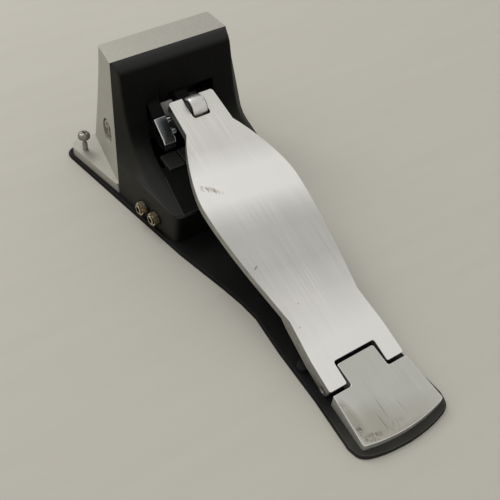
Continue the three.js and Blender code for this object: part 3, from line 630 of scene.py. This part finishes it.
def tube(name, path, radius, sides=8):
    """A round wire along a path of points in millimetres."""
    rings = []
    across = None
    for i, point in enumerate(path):
        here = Vector(point)
        ahead = (Vector(path[min(i + 1, len(path) - 1)]) - Vector(path[max(i - 1, 0)])).normalized()
        across = ahead.orthogonal() if across is None else across - ahead * across.dot(ahead)
        across.normalize()
        other = ahead.cross(across)
        turns = [2 * pi * step / sides for step in range(sides)]
        rings.append([tuple(here + radius * (cos(a) * across + sin(a) * other)) for a in turns])
    return turned_right(mesh_piece(name, *skin(rings)))


def box_piece(name, low, high):
    """A box between two opposite corners."""
    points = [
        (x, y, z)
        for x in (low[0], high[0]) for y in (low[1], high[1]) for z in (low[2], high[2])]
    faces = [(0, 1, 3, 2), (4, 6, 7, 5), (0, 4, 5, 1), (2, 3, 7, 6), (0, 2, 6, 4), (1, 5, 7, 3)]
    return turned_right(mesh_piece(name, points, faces))


# ---------- pieces from the CAD nodes ----------
def fork_side(normal, middle):
    """The steep faces of the footboard's fork."""
    return tilted(BOARD_ANGLE)(normal, middle) and middle.y > FORK_START * MM


NOTCH_CORNERS = upright_corner(BOARD_ANGLE, [(21.1, -135.3)])
EAR_CORNERS = upright_corner(BOARD_ANGLE, [(21.1, -154.6), (38.6, -154.6)])
SHOULDER_CORNERS = upright_corner(HEEL_ANGLE, [(19.0, -159.7)])
softened(
    "footboard", "board", 1.0, 3, 34, "edge",
    others=[("flank", tilted(BOARD_ANGLE)), ("fork_flank", fork_side)],
    corners=[(NOTCH_CORNERS, 2.4), (EAR_CORNERS, 1.6)])
softened(
    "heel_plate", "heel", 1.0, 3, 34, "heel_edge",
    others=[
        ("heel_flank", tilted(HEEL_ANGLE)),
        ("heel_front", lambda normal, middle: normal.y < -0.7)],
    corners=[(SHOULDER_CORNERS, 2.4)])
softened("rear_shell", "silver", 0.8, 3, 30, "silver_edge")
softened("front_shell", "black", 0.8, 3, 34)
softened("base_plate", "coat", 1.2, 3, 50, "coat_edge")
softened("rubber_sole", "rubber", 0.5, 2, 50)
# its rounded edges get a painted highlight line
softened("front_panel", "inlay", 0.4, 2, 32, "edge_highlight")
softened("hammer_arm", "cast", 0.8)
softened("hammer_weight", "chrome", 0.8, 3, 30, "bright")
# their rounded edges get a painted highlight line
for name in ("sill_pad_left", "sill_pad_right"):
    softened(name, "pad", 0.5, 2, 32, "edge_highlight")
for name in ("hammer_striker", "stop_bar", "strike_pad", "board_stop", "heel_bumper"):
    softened(name, "rubber", 0.7)
softened("bracket_cheek_left", "grey", 0.4)
softened("bracket_cheek_right", "coat", 0.4)
for name in ("spring_lever", "pad_plate", "pivot_screw_left", "pivot_screw_right"):
    softened(name, "steel", 0.35)
softened("tension_knob", "nickel", 0.5)
softened("roller", "tread", 0.5, 2, 40)


# ---------- jacks ----------
def jack(number, y, face):
    """The jack's body with its plated bushing drawn out, and a chamfered nut on the thread."""
    body = softened(f"jack_{number}", "nylon", 0.3, 2, 40, others=[
        ("brass", lambda normal, middle: middle.x < (NUT_SEAT + PLATED - face) * MM)])
    body.name = f"jack_{number}_skin"
    for corner in body.data.vertices:
        if corner.co.x < (BUSHING_END - face) * MM:
            corner.co.x -= BUSHING_REACH * MM
    outer, inner = NUT_FACE - face, NUT_SEAT - face
    centre = (0, y, JACK_Z)
    section = [
        (NUT_RADIUS - 0.45, outer), (NUT_RADIUS, outer + 0.35),
        (NUT_RADIUS, inner - 0.3), (NUT_RADIUS - 0.4, inner)]
    nut = lathe(f"jack_nut_{number}_skin", section, "x", centre)
    hexagon = [(NUT_RADIUS * cos(pi * i / 3), NUT_RADIUS * sin(pi * i / 3)) for i in range(6)]
    rings = [[(x, y + a, JACK_Z + b) for a, b in hexagon] for x in (outer - 1, inner + 1)]
    apply_boolean(nut, turned_right(mesh_piece("hexagon", *skin(rings))), "INTERSECT")
    bore = [(NUT_BORE, outer - 1), (NUT_BORE, inner + 1)]
    apply_boolean(nut, turned_right(lathe("bore", bore, "x", centre, 32)))
    rounded(nut, 0.35, 2, 25, "nut_edge")
    dress(nut, "nut", "root", "brass", f"jack_nut_{number}")
    for turn, at in enumerate(THREAD_RIDGES, 1):
        section = [
            (4.45, at - 0.22 - face), (4.72, at - face), (4.45, at + 0.22 - face), (4.3, at - face)]
        ridge = hoop(f"jack_thread_{number}_{turn}", section, y, JACK_Z)
        dress(smooth(ridge), "brass", "root", "brass")


for number, (y, face) in enumerate(JACKS, 1):
    jack(number, y, face)


# ---------- anchor screws ----------
def anchor_screw(side, node):
    """A cross-recess pan head on a neck, with a thread below."""
    core, crest, pitch = 2.2, 2.65, 1.25
    section = [(1.5, 5), (core, 5.7)]
    for turn in range(13):
        foot = 6.2 + pitch * turn
        section += [(core, foot), (crest, foot + 0.45), (crest, foot + 0.6), (core, foot + 1.05)]
    neck = [(2.0, 23), (1.9, 23.6), (1.9, 28.2), (2.2, 29)]
    flange = [(3, 29.4), (5.7, 29.4)]
    head = [
        (6.0, 29.7), (6.1, 31.6), (5.95, 32.6), (5.4, 33.7), (4.4, 34.6), (3, 35.15), (1.2, 35.4)]
    centre = (side * ANCHOR[0], ANCHOR[1], 0)
    piece = turned_right(lathe(node + "_skin", section + neck + flange + head, "z", centre, 40))
    long, wide, floor_z, above = 3.1, 0.62, 33.2, 37
    for x, y in ((long, wide), (wide, long)):
        low = (centre[0] - x, centre[1] - y, floor_z)
        high = (centre[0] + x, centre[1] + y, above)
        apply_boolean(piece, box_piece("recess", low, high))
    dress(smooth(piece, 38), "screw", body_of(node), SLOTS[node], node)


anchor_screw(-1, "anchor_screw_left")
anchor_screw(1, "anchor_screw_right")


# ---------- pieces on the ears and the hammer ----------
def pivot_ring(side, name):
    """The dark rim of the recess that the pivot screw sits in."""
    section = [(3.36, 0), (3.36, 1.5), (2.5, 1.5), (2.35, 1.2), (2.35, 0.5), (2.6, 0)]
    placed = [(radius, side * (PIVOT_FACE - 1.6 + out)) for radius, out in section]
    dress(hoop(name, placed, *HINGE), "screw", "footboard", "black_steel")


pivot_ring(-1, "pivot_ring_left")
pivot_ring(1, "pivot_ring_right")


def clamp_screw(reach):
    """A cap screw that holds the weight to the hammer arm."""
    y = SHAFT[0] - reach * cos(ARM_SLOPE) - CLAMP_RISE * sin(ARM_SLOPE)
    z = SHAFT[1] - reach * sin(ARM_SLOPE) + CLAMP_RISE * cos(ARM_SLOPE)
    flange = [(3.9, 0.1), (4.1, 0.3), (4.1, 0.9), (3.1, 1.1)]
    head = [(3.1, 3.6), (2.7, 4.1), (1.7, 4.1), (1.6, 2.4)]
    piece = turned_right(lathe(f"clamp_screw_{reach}", flange + head, "x", (CLAMP_X, y, z), 40))
    dress(smooth(piece, 35), "bright", "hammer", "chrome")


for reach in CLAMP_REACHES:
    clamp_screw(reach)


# ---------- return spring ----------
def return_spring():
    """A close coil with straight ends."""
    low, high = Vector((SPRING_X, *SPRING_LOW)), Vector((SPRING_X, *SPRING_HIGH))
    ahead = (high - low).normalized()
    side = Vector((1, 0, 0))
    other = ahead.cross(side)
    turns, radius, wire = 15, 3.6, 0.5
    straight = 3.4                       # length of each end
    gap, bend = wire + 0.2, 1.2          # where an end starts, and its second point
    start, end = straight, (high - low).length - straight
    path = [low + ahead * gap, low + ahead * bend]
    steps = turns * 16
    for i in range(steps + 1):
        part = i / steps
        angle = 2 * pi * turns * part
        grow = min(1, 12 * part, 12 * (1 - part))
        path.append(low + ahead * (start + (end - start) * part)
                    + radius * grow * (cos(angle) * side + sin(angle) * other))
    path += [high - ahead * bend, high - ahead * gap]
    piece = smooth(tube("return_spring_skin", [tuple(p) for p in path], wire))
    piece.data.materials.append(MATERIALS["steel"])
    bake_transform(piece)
    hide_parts("return_spring")


return_spring()


# ---------- the CAD nodes that stay ----------
for name in NODES:
    if NODES[name].hide_render:
        continue
    if name.startswith(("ear_bushing", "shaft_bearing", "piezo")):
        kept(name, "brass")
    # the jack washers in near-black: painted shade behind the nuts
    elif name.startswith("jack_washer"):
        kept(name, "cast")
    elif name == "circuit_board":
        kept(name, "laminate")
    elif name.startswith("roller_washer") or SLOTS[name] == "nylon":
        kept(name, "nylon")
    else:
        kept(name, "steel")


# ---------- floor, light and camera ----------
def floor():
    """A plain pale floor with a faint long grain."""
    pale, tree, shader = new_material("floor", (0.56, 0.545, 0.49), 0.65, specular=0.25)
    grain = noise(tree, place(tree, (5, 60, 5)), detail=4)
    grained = tint(tree, grain, (0.54, 0.525, 0.47), (0.58, 0.565, 0.51))
    tree.links.new(grained, shader.inputs["Base Color"])
    mesh = bpy.data.meshes.new("floor")
    reach = 4
    corners = [(-reach, -reach, 0), (reach, -reach, 0), (reach, reach, 0), (-reach, reach, 0)]
    mesh.from_pydata(corners, [], [(0, 1, 2, 3)])
    mesh.materials.append(pale)
    made = bpy.data.objects.new("floor", mesh)
    bpy.context.scene.collection.objects.link(made)


def area_light(name, where, towards, size, power, colour):
    """A rectangular light that shines from one point towards another."""
    light = bpy.data.lights.new(name, "AREA")
    light.shape = "RECTANGLE"
    light.size, light.size_y = size
    light.energy = power
    light.color = colour
    made = bpy.data.objects.new(name, light)
    made.location = where
    made.rotation_euler = (Vector(towards) - Vector(where)).to_track_quat("-Z", "Y").to_euler()
    bpy.context.scene.collection.objects.link(made)


def studio():
    """Even light from all round, and one large soft light behind the housing."""
    world = bpy.data.worlds.new("studio")
    bpy.context.scene.world = world
    world.use_nodes = True
    back = world.node_tree.nodes["Background"]
    back.inputs["Color"].default_value = (1.0, 0.985, 0.955, 1)
    back.inputs["Strength"].default_value = 0.635
    area_light("key", (-0.35, 1.35, 1.5), (0, 0, 0), (1.2, 1.0), 12, (1, 0.99, 0.965))


def camera():
    """A pinhole view from the front left, tilted a little about its own axis."""
    azimuth, height, roll = radians(-37.936), radians(49.5), radians(6.04)
    target = Vector((-2.35, 13.22, 0)) * MM
    distance = 757.07 * MM
    back = Vector((sin(azimuth) * cos(height), -cos(azimuth) * cos(height), sin(height)))
    right = (-back).cross(Vector((0, 0, 1))).normalized()
    up = right.cross(-back)
    side = cos(roll) * right + sin(roll) * up
    top = -sin(roll) * right + cos(roll) * up
    sensor, focal, frame_side = 36, 805.89, 500
    lens = bpy.data.cameras.new("view")
    lens.sensor_width = sensor
    lens.lens = sensor * focal / frame_side
    lens.clip_start = 0.05
    made = bpy.data.objects.new("view", lens)
    turn = Matrix((side, top, back)).transposed().to_4x4()
    made.matrix_world = Matrix.Translation(target + back * distance) @ turn
    bpy.context.scene.collection.objects.link(made)
    bpy.context.scene.camera = made


floor()
studio()
camera()
bpy.context.scene.view_settings.view_transform = "Standard"
